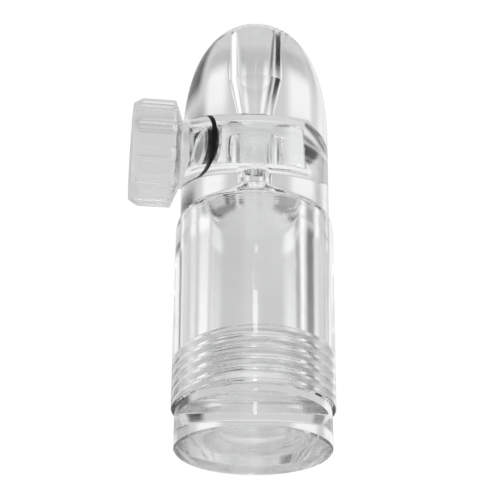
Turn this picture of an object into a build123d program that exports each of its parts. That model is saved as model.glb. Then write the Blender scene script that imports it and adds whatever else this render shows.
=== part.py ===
"""A clear acrylic pocket powder doser with a turning tap.

Five nodes, in millimetres.  +Z runs up the long axis, the origin is the centre of the
flat underside, and the tap's axis is parallel to X with its knob on the -X side.

    body             bullet head and powder barrel, turned from one rod
    tap              fluted knob and spindle, with the dosing cavity across the spindle
    tap_o_ring       rubber seal in the spindle's groove
    base_cap         screw base: flange, hollow spigot and powder pocket
    base_cap_thread  the raised helix on the spigot
"""

import os
from math import acos, cos, radians, sin, tan

from build123d import *

# ---- overall size ----
barrel_d = 18.0
head_d = 17.12
barrel_top = 25.55
shoulder_top = 27.65
dome_base = 37.25
dome_height = 16.1
dome_power = 2.4
dome_steps = 10

# ---- nose channel, from the tip down to the tap ----
nose_d = 4.0
nose_taper_top = 44.45
nose_throat_d = 2.7
nose_rim_round = 0.2

# ---- powder chamber and the passage above it ----
chamber_d = 10.8
chamber_wall_top = 27.75
drill_point = 118.0
passage_d = 2.5

# ---- screw base ----
flange_d = 17.2
flange_top = 4.6
joint_gap = 0.05
flange_chamfer = 0.2
spigot_d = 10.5
spigot_top = 11.65
spigot_chamfer = 0.3
pocket_d = 8.0
pocket_floor = 7.15

# ---- thread, M12 x 1.25, right-handed, 60 degree flanks ----
pitch = 1.25
flank = 30.0
crest_d = 11.86
crest_width = 0.25
ridge_gap = 0.02
ridge_bottom = 5.75
ridge_turns = 4.4
groove_d = 12.04
groove_breakout = 0.1
flank_gap = 0.09
groove_lead = 2
groove_turns = 7.1

# ---- tap, with distances measured from the body's axis ----
tap_height = 35.85
bore_d = 8.1
bore_end = 4.2
bore_point = 7.6
spindle_d = 8.03
spindle_end = 4.1
spindle_chamfer = 0.15
cavity_d = 4.0
cavity_depth = 5.05
knob_d = 12.64
knob_inner = 8.95
knob_outer = 14.55
knob_face_d = 11.3
knob_bevel = 1.05
knob_back_bevel = 0.8
knob_back_d = 8.8
flutes = 12
flute_r = 2.0
flute_depth = 0.36

# ---- tap seal ----
o_ring_section = 1.4
o_ring_place = 4.5
o_ring_gap = 0.02
seal_groove_width = 1.56

barrel_r = barrel_d / 2
head_r = head_d / 2
barrel_bottom = flange_top + joint_gap
chamber_r = chamber_d / 2
passage_r = passage_d / 2
spigot_r = spigot_d / 2
o_ring_centre_r = bore_d / 2 - o_ring_gap - o_ring_section / 2
seal_groove_r = o_ring_centre_r - o_ring_section / 2 - o_ring_gap
cavity_r = cavity_d / 2
cavity_floor = tap_height - spindle_d / 2 + cavity_depth
# the dome is cut off where it meets the nose channel
dome_arc = acos((nose_d / head_d) ** (dome_power / 2))
cone_top = chamber_wall_top + (chamber_r - passage_r) / tan(radians(drill_point / 2))

tap_axis = Axis((0, 0, tap_height), (1, 0, 0))
# local x runs along the tap towards +X, local y is the distance above the tap's axis
tap_section = Plane(origin=(0, 0, tap_height), x_dir=(1, 0, 0), z_dir=(0, -1, 0))
# looks along +X, for outlines across the tap
tap_across = Plane(origin=(-knob_outer, 0, tap_height), x_dir=(0, 1, 0), z_dir=(1, 0, 0))


def dome_point(angle):
    """Point of the dome's superellipse, from 0 at its base to pi / 2 at its pole."""
    radius = head_r * cos(angle) ** (2 / dome_power)
    return radius, dome_base + dome_height * sin(angle) ** (2 / dome_power)


def flank_width(width, width_d, at_d):
    """Width of a 60 degree thread form at one diameter, from its width at another."""
    return width + (width_d - at_d) * tan(radians(flank))


dome_top = dome_point(dome_arc)[1]

# ---- thread forms ----

ridge_root_d = spigot_d + 2 * ridge_gap
ridge_root_width = flank_width(crest_width, crest_d, ridge_root_d)

with BuildPart() as base_cap_thread:
    ridge_path = Helix(pitch=pitch, height=ridge_turns * pitch, radius=spigot_r, center=(0, 0, ridge_bottom))
    with BuildSketch(Plane.XZ) as ridge_form:
        with BuildLine():
            Polyline(
                (ridge_root_d / 2, ridge_bottom - ridge_root_width / 2),
                (crest_d / 2, ridge_bottom - crest_width / 2),
                (crest_d / 2, ridge_bottom + crest_width / 2),
                (ridge_root_d / 2, ridge_bottom + ridge_root_width / 2),
                close=True,
            )
        make_face()
    sweep(path=ridge_path, is_frenet=True)

groove_mouth_d = chamber_d - 2 * groove_breakout
groove_floor_width = flank_width(crest_width, crest_d, groove_d) + 2 * flank_gap
groove_mouth_width = flank_width(groove_floor_width, groove_d, groove_mouth_d)
# the groove is cut with the ridge's helix, carried on past both of its ends
groove_start = ridge_bottom - groove_lead * pitch

with BuildPart() as thread_groove:
    groove_path = Helix(pitch=pitch, height=groove_turns * pitch, radius=chamber_r, center=(0, 0, groove_start))
    with BuildSketch(Plane.XZ) as groove_form:
        with BuildLine():
            Polyline(
                (groove_mouth_d / 2, groove_start - groove_mouth_width / 2),
                (groove_d / 2, groove_start - groove_floor_width / 2),
                (groove_d / 2, groove_start + groove_floor_width / 2),
                (groove_mouth_d / 2, groove_start + groove_mouth_width / 2),
                close=True,
            )
        make_face()
    sweep(path=groove_path, is_frenet=True)

# ---- body ----

with BuildPart() as body:
    with BuildSketch(Plane.XZ) as body_half:
        with BuildLine():
            Polyline((0, barrel_bottom), (barrel_r, barrel_bottom), (barrel_r, barrel_top))
            shoulder = TangentArc((barrel_r, barrel_top), (head_r, shoulder_top), tangent=(0, 1))
            Line(shoulder @ 1, dome_point(0))
            dome = Spline(*[dome_point(dome_arc * i / dome_steps) for i in range(dome_steps + 1)])
            Polyline(dome @ 1, (0, dome_top), (0, barrel_bottom))
        make_face()
    revolve(axis=Axis.Z)

    # powder chamber, its drilled end and the passage up to the tap
    with BuildSketch(Plane.XZ) as chamber_half:
        with BuildLine():
            Polyline(
                (0, barrel_bottom),
                (chamber_r, barrel_bottom),
                (chamber_r, chamber_wall_top),
                (passage_r, cone_top),
                (passage_r, tap_height),
                (0, tap_height),
                close=True,
            )
        make_face()
    revolve(axis=Axis.Z, mode=Mode.SUBTRACT)

    # nose channel, tapering to its throat above the tap
    with BuildSketch(Plane.XZ) as channel_half:
        with BuildLine():
            Polyline(
                (0, tap_height),
                (nose_throat_d / 2, tap_height),
                (nose_throat_d / 2, tap_height + bore_d / 2),
                (nose_d / 2, nose_taper_top),
                (nose_d / 2, dome_top),
                (0, dome_top),
                close=True,
            )
        make_face()
    revolve(axis=Axis.Z, mode=Mode.SUBTRACT)
    nose_rim = body.edges().filter_by(GeomType.CIRCLE).sort_by(Axis.Z)[-1]
    fillet(nose_rim, nose_rim_round)

    # tap bore with its conical end
    with BuildSketch(tap_section) as bore_half:
        with BuildLine():
            Polyline(
                (-barrel_r, 0),
                (-barrel_r, bore_d / 2),
                (bore_end, bore_d / 2),
                (bore_point, 0),
                close=True,
            )
        make_face()
    revolve(axis=tap_axis, mode=Mode.SUBTRACT)

    add(thread_groove.part, mode=Mode.SUBTRACT)

# ---- tap ----

with BuildPart() as tap:
    with BuildSketch(tap_section) as tap_half:
        with BuildLine():
            Polyline(
                (-knob_outer, 0),
                (-knob_outer, knob_face_d / 2),
                (-knob_outer + knob_bevel, knob_d / 2),
                (-knob_inner - knob_back_bevel, knob_d / 2),
                (-knob_inner, knob_back_d / 2),
                (-knob_inner, spindle_d / 2),
                (-o_ring_place - seal_groove_width / 2, spindle_d / 2),
                (-o_ring_place - seal_groove_width / 2, seal_groove_r),
                (-o_ring_place + seal_groove_width / 2, seal_groove_r),
                (-o_ring_place + seal_groove_width / 2, spindle_d / 2),
                (spindle_end - spindle_chamfer, spindle_d / 2),
                (spindle_end, spindle_d / 2 - spindle_chamfer),
                (spindle_end, 0),
                close=True,
            )
        make_face()
    revolve(axis=tap_axis)

    # flutes round the knob's rim
    with BuildSketch(tap_across) as flute_ends:
        with PolarLocations(knob_d / 2 + flute_r - flute_depth, flutes):
            Circle(flute_r)
    extrude(amount=knob_outer - knob_inner, mode=Mode.SUBTRACT)

    # dosing cavity, open downwards at rest
    with BuildSketch(Plane.XY.offset(cavity_floor)) as cavity_end:
        Circle(cavity_r)
    extrude(amount=-spindle_d, mode=Mode.SUBTRACT)

# ---- tap seal ----

with BuildPart() as tap_o_ring:
    with BuildSketch(tap_section) as o_ring_form:
        with Locations((-o_ring_place, o_ring_centre_r)):
            Circle(o_ring_section / 2)
    revolve(axis=tap_axis)

# ---- screw base ----

with BuildPart() as base_cap:
    with BuildSketch(Plane.XZ) as cap_half:
        with BuildLine():
            Polyline(
                (0, 0),
                (flange_d / 2 - flange_chamfer, 0),
                (flange_d / 2, flange_chamfer),
                (flange_d / 2, flange_top),
                (spigot_r, flange_top),
                (spigot_r, spigot_top - spigot_chamfer),
                (spigot_r - spigot_chamfer, spigot_top),
                (pocket_d / 2, spigot_top),
                (pocket_d / 2, pocket_floor),
                (0, pocket_floor),
                close=True,
            )
        make_face()
    revolve(axis=Axis.Z)

# ---- hand over ----

os.makedirs("parts", exist_ok=True)

body.part.label = "body"
export_step(body.part, "parts/body.step")

tap.part.label = "tap"
export_step(tap.part, "parts/tap.step")

tap_o_ring.part.label = "tap_o_ring"
export_step(tap_o_ring.part, "parts/tap_o_ring.step")

base_cap.part.label = "base_cap"
export_step(base_cap.part, "parts/base_cap.step")

base_cap_thread.part.label = "base_cap_thread"
export_step(base_cap_thread.part, "parts/base_cap_thread.step")
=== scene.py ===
"""Looks of the clear acrylic powder doser.  Everything is in metres, in the CAD frame."""

from math import acos, atan2, cos, pi, radians, sin, sqrt, tan

import bmesh
import bpy
from mathutils import Matrix, Vector


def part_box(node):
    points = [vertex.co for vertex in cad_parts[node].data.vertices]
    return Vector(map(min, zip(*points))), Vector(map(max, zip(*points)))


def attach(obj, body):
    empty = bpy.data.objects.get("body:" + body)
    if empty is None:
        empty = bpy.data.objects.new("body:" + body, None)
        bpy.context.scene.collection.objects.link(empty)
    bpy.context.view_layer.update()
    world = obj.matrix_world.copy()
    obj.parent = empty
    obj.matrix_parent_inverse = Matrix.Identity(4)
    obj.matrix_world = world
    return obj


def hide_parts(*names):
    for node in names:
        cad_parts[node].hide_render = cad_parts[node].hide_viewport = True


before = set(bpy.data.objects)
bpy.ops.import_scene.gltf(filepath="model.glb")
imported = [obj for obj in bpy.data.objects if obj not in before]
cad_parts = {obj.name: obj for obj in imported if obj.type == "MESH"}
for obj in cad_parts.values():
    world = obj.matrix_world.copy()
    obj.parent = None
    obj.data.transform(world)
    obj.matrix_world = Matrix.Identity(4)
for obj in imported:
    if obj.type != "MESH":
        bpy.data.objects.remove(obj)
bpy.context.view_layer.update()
MM = 0.001

# ---------------------------------------------------------------- sizes from the frame

body_lo, body_hi = (Vector(corner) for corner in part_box("body"))
tap_lo, tap_hi = (Vector(corner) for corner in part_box("tap"))
ring_lo, ring_hi = (Vector(corner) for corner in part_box("tap_o_ring"))
cap_lo, cap_hi = (Vector(corner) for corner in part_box("base_cap"))
thread_lo, thread_hi = (Vector(corner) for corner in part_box("base_cap_thread"))

barrel_r = body_hi.x
barrel_bottom = body_lo.z
nose_top = body_hi.z
tap_z = (ring_lo.z + ring_hi.z) / 2
knob_face = tap_lo.x
spindle_end = tap_hi.x
ring_x = (ring_lo.x + ring_hi.x) / 2
ring_r = (ring_hi.z - ring_lo.z) / 2
ring_section = ring_hi.x - ring_lo.x
flange_r = cap_hi.x
spigot_top = cap_hi.z
crest_r = thread_hi.x

# ---------------------------------------------------------------- sizes inside the pieces

HEAD_R = 8.56 * MM
BARREL_TOP = 25.55 * MM
SHOULDER_TOP = 27.65 * MM
DOME_BASE = 37.25 * MM
DOME_HEIGHT = 16.1 * MM
DOME_POWER = 2.4
NOSE_R = 2.0 * MM
NOSE_TAPER_TOP = 44.45 * MM
NOSE_THROAT_R = 1.35 * MM
CHAMBER_R = 5.4 * MM
CHAMBER_WALL_TOP = 27.75 * MM
DRILL_POINT = radians(118)
PASSAGE_R = 1.25 * MM

BORE_R = 4.05 * MM
BORE_END = 4.2 * MM
BORE_POINT = 7.6 * MM
SPINDLE_R = 4.015 * MM
KNOB_R = 6.32 * MM
KNOB_INNER = 8.95 * MM
KNOB_FACE_R = 5.65 * MM
KNOB_BEVEL = 1.05 * MM
KNOB_BACK_BEVEL = 0.8 * MM
KNOB_BACK_R = 4.4 * MM
FLUTES = 12
FLUTE_R = 2.0 * MM
FLUTE_DEPTH = 0.36 * MM
CAVITY_R = 2.0 * MM
CAVITY_DEPTH = 5.05 * MM
SEAL_GROOVE = 1.56 * MM
SEAL_GROOVE_R = 2.61 * MM
# the rubber is this much fatter before it is squeezed, and reaches this far past a wall
SEAL_SQUEEZE = 0.07 * MM
SEAL_BITE = 0.004 * MM
SEAL_STEPS = 96

FLANGE_TOP = 4.6 * MM
FLANGE_CHAMFER = 0.2 * MM
SPIGOT_R = 5.25 * MM
POCKET_R = 4.0 * MM
POCKET_FLOOR = 7.15 * MM

PITCH = 1.25 * MM
FLANK = radians(30)
CREST_WIDTH = 0.25 * MM
RIDGE_BOTTOM = 5.75 * MM
RIDGE_TURNS = 4.4
GROOVE_R = 6.02 * MM
FLANK_GAP = 0.09 * MM
GROOVE_BREAKOUT = 0.1 * MM
# the groove starts this many turns below the ridge
GROOVE_LEAD = 2
GROOVE_BOTTOM = RIDGE_BOTTOM - GROOVE_LEAD * PITCH
GROOVE_TURNS = 7.1
# the groove is nearly a pitch wide at its mouth, and reaches half a pitch past its helix
GROOVE_TOP = GROOVE_BOTTOM + (GROOVE_TURNS + 0.5) * PITCH

# ---------------------------------------------------------------- rounded edges

# the rim's sharp corner, before rounding, is this far above the nose's highest point
NOSE_RIM_RISE = 0.1 * MM
NOSE_RIM_ROUND = 0.2 * MM
TAPER_ROUND = 0.3 * MM
PASSAGE_ROUND = 0.15 * MM
CHAMBER_END_ROUND = 0.5 * MM
CHAMBER_MOUTH_ROUND = 0.12 * MM
BARREL_END_ROUND = 0.15 * MM
SMALL_ROUND = 0.1 * MM
SPINDLE_ROUND = 0.15 * MM
CAVITY_ROUND = 0.15 * MM
SEAL_GROOVE_ROUND = 0.08 * MM
FLANGE_ROUND = 0.08 * MM
SPIGOT_ROUND = 0.25 * MM
POCKET_ROUND = 0.4 * MM

# ---------------------------------------------------------------- fineness of the meshes

ROUND_STEPS = 6
AROUND = 192
CAVITY_AROUND = 96
FLUTE_AROUND = 40
SHOULDER_STEPS = 8
DOME_STEPS = 48
THREAD_STEPS = 96
# how much of the thread's height its very tip keeps, and the turns over which it fades
RIDGE_TIP = 0.02
RIDGE_FADE_TURNS = 0.35
# a cutting tool starts this far outside the piece, and the ridge this far inside the spigot
OVERCUT = 1 * MM
ROOT_OVERLAP = 0.1 * MM
SMOOTH_ANGLE = radians(28)

# ---------------------------------------------------------------- mesh helpers


def rounded(corners):
    """Outline of (radius, height, rounding) corners, each rounding turned into an arc."""
    outline = []
    count = len(corners)
    for i, (r, h, rounding) in enumerate(corners):
        here = Vector((r, h))
        if rounding == 0:
            outline.append(here)
            continue
        before = (Vector(corners[i - 1][:2]) - here).normalized()
        after = (Vector(corners[(i + 1) % count][:2]) - here).normalized()
        half = acos(max(-1, min(1, before.dot(after)))) / 2
        centre = here + (before + after).normalized() * rounding / sin(half)
        start = here + before * rounding / tan(half) - centre
        turn = pi - 2 * half
        side = 1 if before.cross(after) < 0 else -1
        for step in range(ROUND_STEPS + 1):
            angle = side * turn * step / ROUND_STEPS
            outline.append(centre + Matrix.Rotation(angle, 2) @ start)
    return outline


def lathe(name, outline, axis="Z", around=AROUND):
    """Turns an outline of (radius, height) points about Z, or about the tap's axis.

    An outline that starts and ends on the axis closes there; any other closes on itself.
    """
    mesh = bmesh.new()
    on_axis = outline[0].x == 0 and outline[-1].x == 0
    rings = []
    for r, h in outline:
        steps = 1 if r == 0 else around
        ring = []
        for i in range(steps):
            angle = 2 * pi * i / around
            if axis == "Z":
                ring.append(mesh.verts.new((r * cos(angle), r * sin(angle), h)))
            else:
                ring.append(mesh.verts.new((h, r * cos(angle), tap_z + r * sin(angle))))
        rings.append(ring)
    pairs = list(zip(rings, rings[1:]))
    if not on_axis:
        pairs.append((rings[-1], rings[0]))
    for low, high in pairs:
        for i in range(around):
            j = (i + 1) % around
            if len(low) == 1:
                mesh.faces.new((low[0], high[j], high[i]))
            elif len(high) == 1:
                mesh.faces.new((low[i], low[j], high[0]))
            else:
                mesh.faces.new((low[i], low[j], high[j], high[i]))
    return finish_mesh(name, mesh)


def helix_ridge(name, section, bottom, turns, fade_turns, fade_to):
    """Sweeps a section of (radius, height) points up the thread's helix.

    Over fade_turns at each end the section sinks to the radius fade_to.
    """
    mesh = bmesh.new()
    steps = round(turns * THREAD_STEPS)
    rings = []
    for step in range(steps + 1):
        turned = step / THREAD_STEPS
        angle = 2 * pi * turned
        from_end = min(turned, turns - turned)
        kept = min(1, RIDGE_TIP + from_end / fade_turns) if fade_turns else 1
        ring = []
        for r, h in section:
            radius = fade_to + (r - fade_to) * kept if r > fade_to else r
            height = bottom + PITCH * turned + h
            ring.append(mesh.verts.new((radius * cos(angle), radius * sin(angle), height)))
        rings.append(ring)
    for low, high in zip(rings, rings[1:]):
        for i in range(len(section)):
            j = (i + 1) % len(section)
            mesh.faces.new((low[i], low[j], high[j], high[i]))
    mesh.faces.new(rings[0])
    mesh.faces.new(reversed(rings[-1]))
    return finish_mesh(name, mesh)


def finish_mesh(name, mesh):
    """Writes a bmesh to a new object with its faces turned outwards."""
    bmesh.ops.recalc_face_normals(mesh, faces=mesh.faces)
    data = bpy.data.meshes.new(name)
    mesh.to_mesh(data)
    mesh.free()
    piece = bpy.data.objects.new(name, data)
    bpy.context.scene.collection.objects.link(piece)
    return piece


def combine(piece, tools, operation):
    """Cuts tools out of a piece, or joins them to it, and deletes them."""
    for tool in tools:
        change = piece.modifiers.new("combine", "BOOLEAN")
        change.operation = operation
        change.solver = "EXACT"
        change.object = tool
    bpy.context.view_layer.update()
    changed = piece.evaluated_get(bpy.context.evaluated_depsgraph_get())
    data = bpy.data.meshes.new_from_object(changed)
    piece.modifiers.clear()
    old = piece.data
    piece.data = data
    bpy.data.meshes.remove(old)
    for tool in tools:
        bpy.data.objects.remove(tool)


def smooth(piece):
    """Shades a piece smooth, apart from its sharp edges."""
    piece.data.shade_smooth()
    piece.data.set_sharp_from_angle(angle=SMOOTH_ANGLE)


# ---------------------------------------------------------------- materials


def new_material(name):
    material = bpy.data.materials.new(name)
    material.use_nodes = True
    nodes = material.node_tree.nodes
    return material, nodes, material.node_tree.links, nodes["Principled BSDF"]


# a noise texture's scale is the number of its cells in a metre
ACRYLIC_COLOUR = (0.992, 0.996, 0.996, 1)
ACRYLIC_IOR = 1.49
HAZE_SCALE = 420
# the part of the noise's range over which the roughness changes
HAZE_LOW = 0.42
HAZE_HIGH = 0.68
RUBBER_DARK = (0.003, 0.003, 0.0035, 1)
RUBBER_LIGHT = (0.01, 0.01, 0.011, 1)
RUBBER_SPECULAR = 0.2
RUBBER_ROUGHNESS = (0.35, 0.6)
RUBBER_GRAIN_SCALE = 5000
RUBBER_GRAIN_HEIGHT = 0.01 * MM


def acrylic(name, roughness, wave_scale, wave_height, tool_pitch, tool_height):
    """Clear acrylic: polishing haze, slow waviness, and the fine rings a tool leaves.

    The roughness is a pair, and the haze wanders from one to the other.
    """
    material, nodes, links, shader = new_material(name)
    shader.inputs["Base Color"].default_value = ACRYLIC_COLOUR
    shader.inputs["Transmission Weight"].default_value = 1
    shader.inputs["IOR"].default_value = ACRYLIC_IOR
    place = nodes.new("ShaderNodeTexCoord")

    haze = nodes.new("ShaderNodeTexNoise")
    haze.inputs["Scale"].default_value = HAZE_SCALE
    haze.inputs["Detail"].default_value = 5
    links.new(place.outputs["Object"], haze.inputs["Vector"])
    spread = nodes.new("ShaderNodeMapRange")
    spread.inputs["From Min"].default_value = HAZE_LOW
    spread.inputs["From Max"].default_value = HAZE_HIGH
    spread.inputs["To Min"].default_value, spread.inputs["To Max"].default_value = roughness
    links.new(haze.outputs["Fac"], spread.inputs["Value"])
    links.new(spread.outputs["Result"], shader.inputs["Roughness"])

    waviness = nodes.new("ShaderNodeTexNoise")
    waviness.inputs["Scale"].default_value = wave_scale
    waviness.inputs["Detail"].default_value = 2
    links.new(place.outputs["Object"], waviness.inputs["Vector"])
    slow = nodes.new("ShaderNodeBump")
    slow.inputs["Distance"].default_value = wave_height
    slow.inputs["Strength"].default_value = 1
    links.new(waviness.outputs["Fac"], slow.inputs["Height"])

    rings = nodes.new("ShaderNodeTexWave")
    rings.wave_type = "BANDS"
    rings.bands_direction = "Z"
    # one band is 2 pi / 20 of a texture unit long
    rings.inputs["Scale"].default_value = pi / 10 / tool_pitch
    rings.inputs["Distortion"].default_value = 1.5
    rings.inputs["Detail"].default_value = 2
    links.new(place.outputs["Object"], rings.inputs["Vector"])
    fine = nodes.new("ShaderNodeBump")
    fine.inputs["Distance"].default_value = tool_height
    fine.inputs["Strength"].default_value = 1
    links.new(rings.outputs["Fac"], fine.inputs["Height"])
    links.new(slow.outputs["Normal"], fine.inputs["Normal"])
    links.new(fine.outputs["Normal"], shader.inputs["Normal"])
    return material


def rubber():
    """Black seal rubber, finely grained."""
    material, nodes, links, shader = new_material("seal_rubber_black")
    shader.inputs["Specular IOR Level"].default_value = RUBBER_SPECULAR
    place = nodes.new("ShaderNodeTexCoord")
    grain = nodes.new("ShaderNodeTexNoise")
    grain.inputs["Scale"].default_value = RUBBER_GRAIN_SCALE
    grain.inputs["Detail"].default_value = 3
    links.new(place.outputs["Object"], grain.inputs["Vector"])
    shade = nodes.new("ShaderNodeValToRGB")
    shade.color_ramp.elements[0].color = RUBBER_DARK
    shade.color_ramp.elements[1].color = RUBBER_LIGHT
    links.new(grain.outputs["Fac"], shade.inputs["Fac"])
    links.new(shade.outputs["Color"], shader.inputs["Base Color"])
    rough = nodes.new("ShaderNodeMapRange")
    rough.inputs["To Min"].default_value, rough.inputs["To Max"].default_value = RUBBER_ROUGHNESS
    links.new(grain.outputs["Fac"], rough.inputs["Value"])
    links.new(rough.outputs["Result"], shader.inputs["Roughness"])
    bump = nodes.new("ShaderNodeBump")
    bump.inputs["Distance"].default_value = RUBBER_GRAIN_HEIGHT
    links.new(grain.outputs["Fac"], bump.inputs["Height"])
    links.new(bump.outputs["Normal"], shader.inputs["Normal"])
    return material


# name, roughness, scale and height of the waviness, pitch and height of the tool's rings,
# which polishing and facing leave no height
polished = acrylic("acrylic_polished", (0.0, 0.03), 260, 0.012 * MM, 0.4 * MM, 0)
drilled = acrylic("acrylic_drilled", (0.02, 0.1), 500, 0.012 * MM, 0.22 * MM, 0.002 * MM)
threaded = acrylic("acrylic_threaded", (0.16, 0.3), 500, 0.004 * MM, 0.3 * MM, 0.0005 * MM)
faced = acrylic("acrylic_faced", (0.12, 0.18), 500, 0.006 * MM, 0.25 * MM, 0)
milled = acrylic("acrylic_milled", (0.1, 0.22), 400, 0.02 * MM, 0.3 * MM, 0.002 * MM)
black_rubber = rubber()

# ---------------------------------------------------------------- pieces


def make_body():
    """Bullet head and barrel, with all its bores and the female thread."""
    rise = SHOULDER_TOP - BARREL_TOP
    step = barrel_r - HEAD_R
    shoulder_r = (rise ** 2 + step ** 2) / (2 * step)
    shoulder_turn = atan2(rise, shoulder_r - step)
    shoulder = []
    for i in range(SHOULDER_STEPS + 1):
        angle = shoulder_turn * i / SHOULDER_STEPS
        radius = barrel_r - shoulder_r * (1 - cos(angle))
        shoulder.append(Vector((radius, BARREL_TOP + shoulder_r * sin(angle))))
    dome_arc = acos((NOSE_R / HEAD_R) ** (DOME_POWER / 2))
    dome = []
    for i in range(DOME_STEPS + 1):
        angle = dome_arc * i / DOME_STEPS
        radius = HEAD_R * cos(angle) ** (2 / DOME_POWER)
        dome.append(Vector((radius, DOME_BASE + DOME_HEIGHT * sin(angle) ** (2 / DOME_POWER))))
    # the dome stops where the rounded rim of the nose channel starts
    dome = [point for point in dome if point.x > NOSE_R + 1.2 * NOSE_RIM_ROUND]
    cone_top = CHAMBER_WALL_TOP + (CHAMBER_R - PASSAGE_R) / tan(DRILL_POINT / 2)
    inside = rounded([
        (dome[-1].x, dome[-1].y, 0),
        (NOSE_R, nose_top + NOSE_RIM_RISE, NOSE_RIM_ROUND),
        (NOSE_R, NOSE_TAPER_TOP, TAPER_ROUND),
        (NOSE_THROAT_R, tap_z + BORE_R, 0),
        (NOSE_THROAT_R, tap_z, 0),
        (PASSAGE_R, tap_z, 0),
        (PASSAGE_R, cone_top, PASSAGE_ROUND),
        (CHAMBER_R, CHAMBER_WALL_TOP, CHAMBER_END_ROUND),
        (CHAMBER_R, barrel_bottom, CHAMBER_MOUTH_ROUND),
        (barrel_r, barrel_bottom, BARREL_END_ROUND),
        (barrel_r, BARREL_TOP, 0),
    ])
    outline = inside[1:-1] + shoulder + dome
    body = lathe("doser_body", outline)
    bore = lathe("bore", [
        Vector((0, -barrel_r - OVERCUT)),
        Vector((BORE_R, -barrel_r - OVERCUT)),
        Vector((BORE_R, BORE_END)),
        Vector((0, BORE_POINT)),
    ], axis="X")
    mouth_r = CHAMBER_R - GROOVE_BREAKOUT
    floor_half = CREST_WIDTH / 2 + (crest_r - GROOVE_R) * tan(FLANK) + FLANK_GAP
    mouth_half = floor_half + (GROOVE_R - mouth_r) * tan(FLANK)
    section = [
        (mouth_r, -mouth_half),
        (GROOVE_R, -floor_half),
        (GROOVE_R, floor_half),
        (mouth_r, mouth_half),
    ]
    groove = helix_ridge("groove", section, GROOVE_BOTTOM, GROOVE_TURNS, 0, mouth_r)
    combine(body, [bore, groove], "DIFFERENCE")
    return body


def make_tap():
    """Fluted knob and spindle, with the seal groove and the dosing cavity."""
    groove_lo = ring_x - SEAL_GROOVE / 2
    groove_hi = ring_x + SEAL_GROOVE / 2
    tap = lathe("tap_key", rounded([
        (0, knob_face, 0),
        (KNOB_FACE_R, knob_face, SMALL_ROUND),
        (KNOB_R, knob_face + KNOB_BEVEL, SMALL_ROUND),
        (KNOB_R, -KNOB_INNER - KNOB_BACK_BEVEL, SMALL_ROUND),
        (KNOB_BACK_R, -KNOB_INNER, SMALL_ROUND),
        (SPINDLE_R, -KNOB_INNER, SPINDLE_ROUND),
        (SPINDLE_R, groove_lo, SEAL_GROOVE_ROUND),
        (SEAL_GROOVE_R, groove_lo, SMALL_ROUND),
        (SEAL_GROOVE_R, groove_hi, SMALL_ROUND),
        (SPINDLE_R, groove_hi, SEAL_GROOVE_ROUND),
        (SPINDLE_R, spindle_end, SPINDLE_ROUND),
        (0, spindle_end, 0),
    ]), axis="X")
    cutters = []
    reach = KNOB_R + FLUTE_R - FLUTE_DEPTH
    for i in range(FLUTES):
        angle = 2 * pi * i / FLUTES
        flute = lathe("flute", [
            Vector((0, knob_face - OVERCUT)),
            Vector((FLUTE_R, knob_face - OVERCUT)),
            Vector((FLUTE_R, -KNOB_INNER + OVERCUT)),
            Vector((0, -KNOB_INNER + OVERCUT)),
        ], axis="X", around=FLUTE_AROUND)
        flute.data.transform(Matrix.Translation((0, reach * cos(angle), reach * sin(angle))))
        cutters.append(flute)
    cavity_floor = tap_z - SPINDLE_R + CAVITY_DEPTH
    cavity = lathe("cavity", rounded([
        (0, tap_z - SPINDLE_R - OVERCUT, 0),
        (CAVITY_R, tap_z - SPINDLE_R - OVERCUT, 0),
        (CAVITY_R, cavity_floor, CAVITY_ROUND),
        (0, cavity_floor, 0),
    ]), around=CAVITY_AROUND)
    combine(tap, cutters + [cavity], "DIFFERENCE")
    return tap


def make_seal():
    """O-ring, squeezed flat against the bore and against the floor of its groove."""
    section_r = ring_section / 2 + SEAL_SQUEEZE
    outline = []
    for i in range(SEAL_STEPS):
        angle = 2 * pi * i / SEAL_STEPS
        aside = section_r * sin(angle)
        radius = ring_r - ring_section / 2 + section_r * cos(angle)
        radius = max(SEAL_GROOVE_R - SEAL_BITE, min(BORE_R + SEAL_BITE, radius))
        outline.append(Vector((radius, ring_x + aside)))
    return lathe("tap_seal", outline, axis="X")


def make_cap():
    """Screw base: flange, hollow spigot and male thread in one piece."""
    cap = lathe("screw_base", rounded([
        (0, cap_lo.z, 0),
        (flange_r - FLANGE_CHAMFER, cap_lo.z, FLANGE_ROUND),
        (flange_r, cap_lo.z + FLANGE_CHAMFER, FLANGE_ROUND),
        (flange_r, FLANGE_TOP, SMALL_ROUND),
        (SPIGOT_R, FLANGE_TOP, SMALL_ROUND),
        (SPIGOT_R, spigot_top, SPIGOT_ROUND),
        (POCKET_R, spigot_top, SMALL_ROUND),
        (POCKET_R, POCKET_FLOOR, POCKET_ROUND),
        (0, POCKET_FLOOR, 0),
    ]))
    root_r = SPIGOT_R - ROOT_OVERLAP
    crest_half = CREST_WIDTH / 2
    root_half = crest_half + (crest_r - root_r) * tan(FLANK)
    section = [
        (root_r, -root_half),
        (crest_r, -crest_half),
        (crest_r, crest_half),
        (root_r, root_half),
    ]
    ridge = helix_ridge("ridge", section, RIDGE_BOTTOM, RIDGE_TURNS, RIDGE_FADE_TURNS, root_r)
    combine(cap, [ridge], "UNION")
    return cap


body = make_body()
tap = make_tap()
seal = make_seal()
cap = make_cap()

# ---------------------------------------------------------------- finishes

# each finish's place among a piece's materials
POLISHED, DRILLED, THREADED, MILLED, FACED = range(5)
# a face belongs to a surface when its centre is this near it, or this far inside an edge
NEAR = 0.01 * MM
NEAR_BORE = 0.05 * MM
NEAR_GROOVE = 0.1 * MM
INSIDE_END = 0.1 * MM
INSIDE_HEAD = 0.3 * MM
INSIDE_NOSE = 0.4 * MM
INSIDE_KNOB = 0.5 * MM


def off_body_axis(centre):
    return sqrt(centre.x ** 2 + centre.y ** 2)


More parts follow.
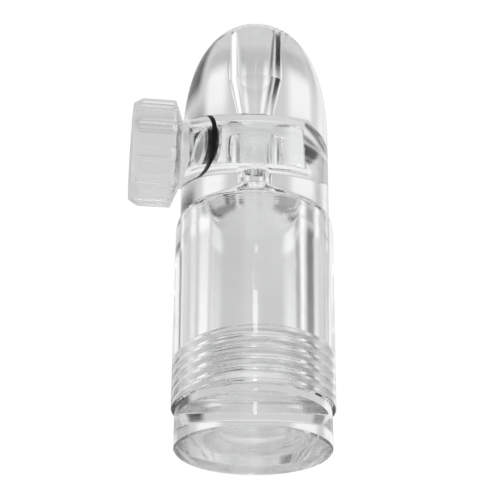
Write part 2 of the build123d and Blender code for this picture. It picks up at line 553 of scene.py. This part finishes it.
def is_inner_body(centre):
    """Whether a point of the body is on a drilled surface and not on the outside."""
    off_axis = off_body_axis(centre)
    off_tap = sqrt(centre.y ** 2 + (centre.z - tap_z) ** 2)
    in_chamber = off_axis < GROOVE_R + NEAR_GROOVE and centre.z < tap_z
    in_channel = off_axis < NOSE_R + NEAR_BORE and centre.z < nose_top - INSIDE_NOSE
    in_head = centre.x > -HEAD_R + INSIDE_HEAD and off_axis < HEAD_R - INSIDE_HEAD
    in_bore = off_tap < BORE_R + NEAR_BORE and in_head
    return in_chamber or in_channel or in_bore


def body_finish(centre):
    in_thread = barrel_bottom + INSIDE_END < centre.z < GROOVE_TOP
    if in_thread and CHAMBER_R < off_body_axis(centre) < GROOVE_R + NEAR_GROOVE:
        return THREADED
    return DRILLED if is_inner_body(centre) else POLISHED


def cap_finish(centre):
    if centre.z > FLANGE_TOP + INSIDE_END and off_body_axis(centre) > SPIGOT_R - NEAR:
        return THREADED
    if centre.z < NEAR:
        return FACED
    return DRILLED if centre.z > FLANGE_TOP - NEAR else POLISHED


def tap_finish(centre):
    return DRILLED if centre.x > -KNOB_INNER + INSIDE_KNOB else MILLED


def dress(piece, finish):
    """Gives each face of a piece the surface that its making left."""
    piece.data.materials.clear()
    # in the order of the finishes' numbers
    for material in (polished, drilled, threaded, milled, faced):
        piece.data.materials.append(material)
    for face in piece.data.polygons:
        face.material_index = finish(face.center)
    smooth(piece)


dress(body, body_finish)
dress(tap, tap_finish)
dress(cap, cap_finish)
seal.data.materials.append(black_rubber)
smooth(seal)

for piece, rides_on, nodes, slot in (
    (body, "body", ["body"], "clear_acrylic"),
    (tap, "tap", ["tap"], "clear_acrylic"),
    (seal, "seal", ["tap_o_ring"], "seal_rubber"),
    (cap, "cap_thread", ["base_cap", "base_cap_thread"], "clear_acrylic"),
):
    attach(piece, rides_on)
    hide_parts(*nodes)

# ---------------------------------------------------------------- camera

CAMERA_AZIMUTH = radians(-7)
CAMERA_ELEVATION = radians(-25.5)
CAMERA_DISTANCE = 171.5 * MM
CAMERA_LENS = 108
SENSOR_WIDTH = 36
CLIP_START = 0.01
AIM_Z = 24.05 * MM
AIM_SIDE = 0.5 * MM
CAMERA_ROLL = radians(0.4)


def make_camera():
    """Long lens, below the floor's level and looking up at the doser."""
    back = Vector((
        sin(CAMERA_AZIMUTH) * cos(CAMERA_ELEVATION),
        -cos(CAMERA_AZIMUTH) * cos(CAMERA_ELEVATION),
        sin(CAMERA_ELEVATION),
    ))
    right = Vector((cos(CAMERA_AZIMUTH), sin(CAMERA_AZIMUTH), 0))
    up = back.cross(right)
    turn = Matrix((right, up, back)).transposed() @ Matrix.Rotation(CAMERA_ROLL, 3, "Z")
    data = bpy.data.cameras.new("camera")
    data.lens = CAMERA_LENS
    data.sensor_width = SENSOR_WIDTH
    data.clip_start = CLIP_START
    place = Vector((0, 0, AIM_Z)) + back * CAMERA_DISTANCE - right * AIM_SIDE
    camera = bpy.data.objects.new("camera", data)
    camera.matrix_world = Matrix.Translation(place) @ turn.to_4x4()
    bpy.context.scene.collection.objects.link(camera)
    bpy.context.scene.camera = camera


make_camera()

# ---------------------------------------------------------------- floor and light

FLOOR_HALF = 4.0
FLOOR_COLOUR = (0.92, 0.92, 0.91, 1)
FLOOR_ROUGHNESS = 0.6
LIGHT_TARGET = Vector((0, 0, 26 * MM))


def make_floor():
    """Pale floor that hides nothing from a camera below its level."""
    mesh = bmesh.new()
    corners = [(-1, -1), (1, -1), (1, 1), (-1, 1)]
    mesh.faces.new([mesh.verts.new((x * FLOOR_HALF, y * FLOOR_HALF, 0)) for x, y in corners])
    floor = finish_mesh("floor", mesh)
    material, nodes, links, shader = new_material("floor_pale")
    shader.inputs["Base Color"].default_value = FLOOR_COLOUR
    shader.inputs["Roughness"].default_value = FLOOR_ROUGHNESS
    see_through = nodes.new("ShaderNodeBsdfTransparent")
    side = nodes.new("ShaderNodeNewGeometry")
    mix = nodes.new("ShaderNodeMixShader")
    links.new(side.outputs["Backfacing"], mix.inputs[0])
    links.new(shader.outputs["BSDF"], mix.inputs[1])
    links.new(see_through.outputs["BSDF"], mix.inputs[2])
    links.new(mix.outputs["Shader"], nodes["Material Output"].inputs["Surface"])
    floor.data.materials.append(material)
    # the acrylic shows the room below and not the floor that its underside rests on
    floor.visible_transmission = False
    floor.visible_glossy = False


def area_light(name, place, size, power):
    """Rectangular light of (width, height) and watts, aimed at the middle of the doser."""
    data = bpy.data.lights.new(name, "AREA")
    data.shape = "RECTANGLE"
    data.size, data.size_y = size
    data.energy = power
    light = bpy.data.objects.new(name, data)
    light.location = place
    light.rotation_euler = (LIGHT_TARGET - Vector(place)).to_track_quat("-Z", "Y").to_euler()
    light.visible_camera = False
    bpy.context.scene.collection.objects.link(light)
    return light


# the soft bright and dark cards round the doser.  In degrees: azimuth of the card's middle,
# from behind (+Y) towards +X, and half its width; elevation of its middle and half its
# height; half the width of its soft edge.  Last, its brightness.
CARDS = (
    (0, 180, -66, 28, 5, 0.95),
    (180, 80, 52, 8, 5, 0.25),
    (155, 48, 0, 37, 8, 0.82),
    (-120, 34, 28, 13, 6, 0.05),
    (5, 36, 8, 7, 4, 0.5),
    (-60, 16, 0, 30, 6, 1.05),
    (-23, 10, 20, 7, 4, 0.92),
    (32, 8, 19, 7, 4, 0.95),
    (84, 12, 28, 12, 5, 1.0),
    (53, 11, 34, 11, 5, 0.15),
    (66, 18, -2, 18, 5, 0.0),
    (50, 9, -27, 6, 4, 0.0),
    (-46, 9, -28, 6, 4, 0.2),
)
# the grey room between the cards
BRIGHTNESS_FRONT = 0.7
BRIGHTNESS_SIDE = 0.66
BRIGHTNESS_BEHIND = 0.61


def make_world():
    """White to the camera; to everything else, a grey room with soft light and dark cards."""
    world = bpy.data.worlds.new("studio")
    bpy.context.scene.world = world
    world.use_nodes = True
    nodes, links = world.node_tree.nodes, world.node_tree.links
    nodes.clear()

    def calculate(operation, *values):
        node = nodes.new("ShaderNodeMath")
        node.operation = operation
        for socket, value in zip(node.inputs, values):
            if isinstance(value, (int, float)):
                socket.default_value = value
            else:
                links.new(value, socket)
        return node.outputs["Value"]

    def soft_edge(distance, half, softness):
        edge = nodes.new("ShaderNodeMapRange")
        edge.interpolation_type = "SMOOTHSTEP"
        edge.inputs["From Min"].default_value = radians(half + softness)
        edge.inputs["From Max"].default_value = radians(half - softness)
        links.new(distance, edge.inputs["Value"])
        return edge.outputs["Result"]

    way = nodes.new("ShaderNodeTexCoord")
    parts = nodes.new("ShaderNodeSeparateXYZ")
    links.new(way.outputs["Generated"], parts.inputs["Vector"])
    azimuth = calculate("ARCTAN2", parts.outputs["X"], parts.outputs["Y"])
    elevation = calculate("ARCSINE", parts.outputs["Z"])

    to_front = calculate("MAXIMUM", calculate("MULTIPLY", parts.outputs["Y"], -1), 0)
    to_back = calculate("MAXIMUM", parts.outputs["Y"], 0)
    front_rise = BRIGHTNESS_FRONT - BRIGHTNESS_SIDE
    behind_rise = BRIGHTNESS_BEHIND - BRIGHTNESS_SIDE
    brightness = calculate("MULTIPLY_ADD", to_front, front_rise, BRIGHTNESS_SIDE)
    brightness = calculate("MULTIPLY_ADD", to_back, behind_rise, brightness)
    for card_azimuth, half_width, card_elevation, half_height, softness, level in CARDS:
        aside = calculate("SUBTRACT", azimuth, radians(card_azimuth))
        aside = calculate("ARCCOSINE", calculate("COSINE", aside))
        above = calculate("ABSOLUTE", calculate("SUBTRACT", elevation, radians(card_elevation)))
        cover = calculate(
            "MULTIPLY",
            soft_edge(aside, half_width, softness),
            soft_edge(above, half_height, softness),
        )
        blend = nodes.new("ShaderNodeMix")
        links.new(cover, blend.inputs["Factor"])
        links.new(brightness, blend.inputs["A"])
        blend.inputs["B"].default_value = level
        brightness = blend.outputs["Result"]

    out = nodes.new("ShaderNodeOutputWorld")
    seen = nodes.new("ShaderNodeBackground")
    seen.inputs["Color"].default_value = (1, 1, 1, 1)
    lit = nodes.new("ShaderNodeBackground")
    lit.inputs["Color"].default_value = (1, 1, 1, 1)
    path = nodes.new("ShaderNodeLightPath")
    mix = nodes.new("ShaderNodeMixShader")
    links.new(brightness, lit.inputs["Strength"])
    links.new(path.outputs["Is Camera Ray"], mix.inputs[0])
    links.new(lit.outputs["Background"], mix.inputs[1])
    links.new(seen.outputs["Background"], mix.inputs[2])
    links.new(mix.outputs["Shader"], out.inputs["Surface"])


make_floor()
make_world()
# the softbox lights the floor and the rubber, and doesn't show in the acrylic
top_light = area_light("top_softbox", (0.2, -0.3, 1.2), (2.0, 2.0), 9.0)
top_light.visible_glossy = False
top_light.visible_transmission = False
# the strip and the spot make the row of bright spots down the doser's front
area_light("front_strip", (-0.035, -0.4, 0.147), (0.04, 0.032), 0.024)
area_light("front_spot", (-0.03, -0.4, 0.199), (0.03, 0.005), 0.0022)

scene = bpy.context.scene
scene.view_settings.view_transform = "Standard"
# light crosses many acrylic surfaces before it comes out
scene.cycles.max_bounces = 24
scene.cycles.transmission_bounces = 24
scene.cycles.glossy_bounces = 16
scene.cycles.transparent_max_bounces = 16
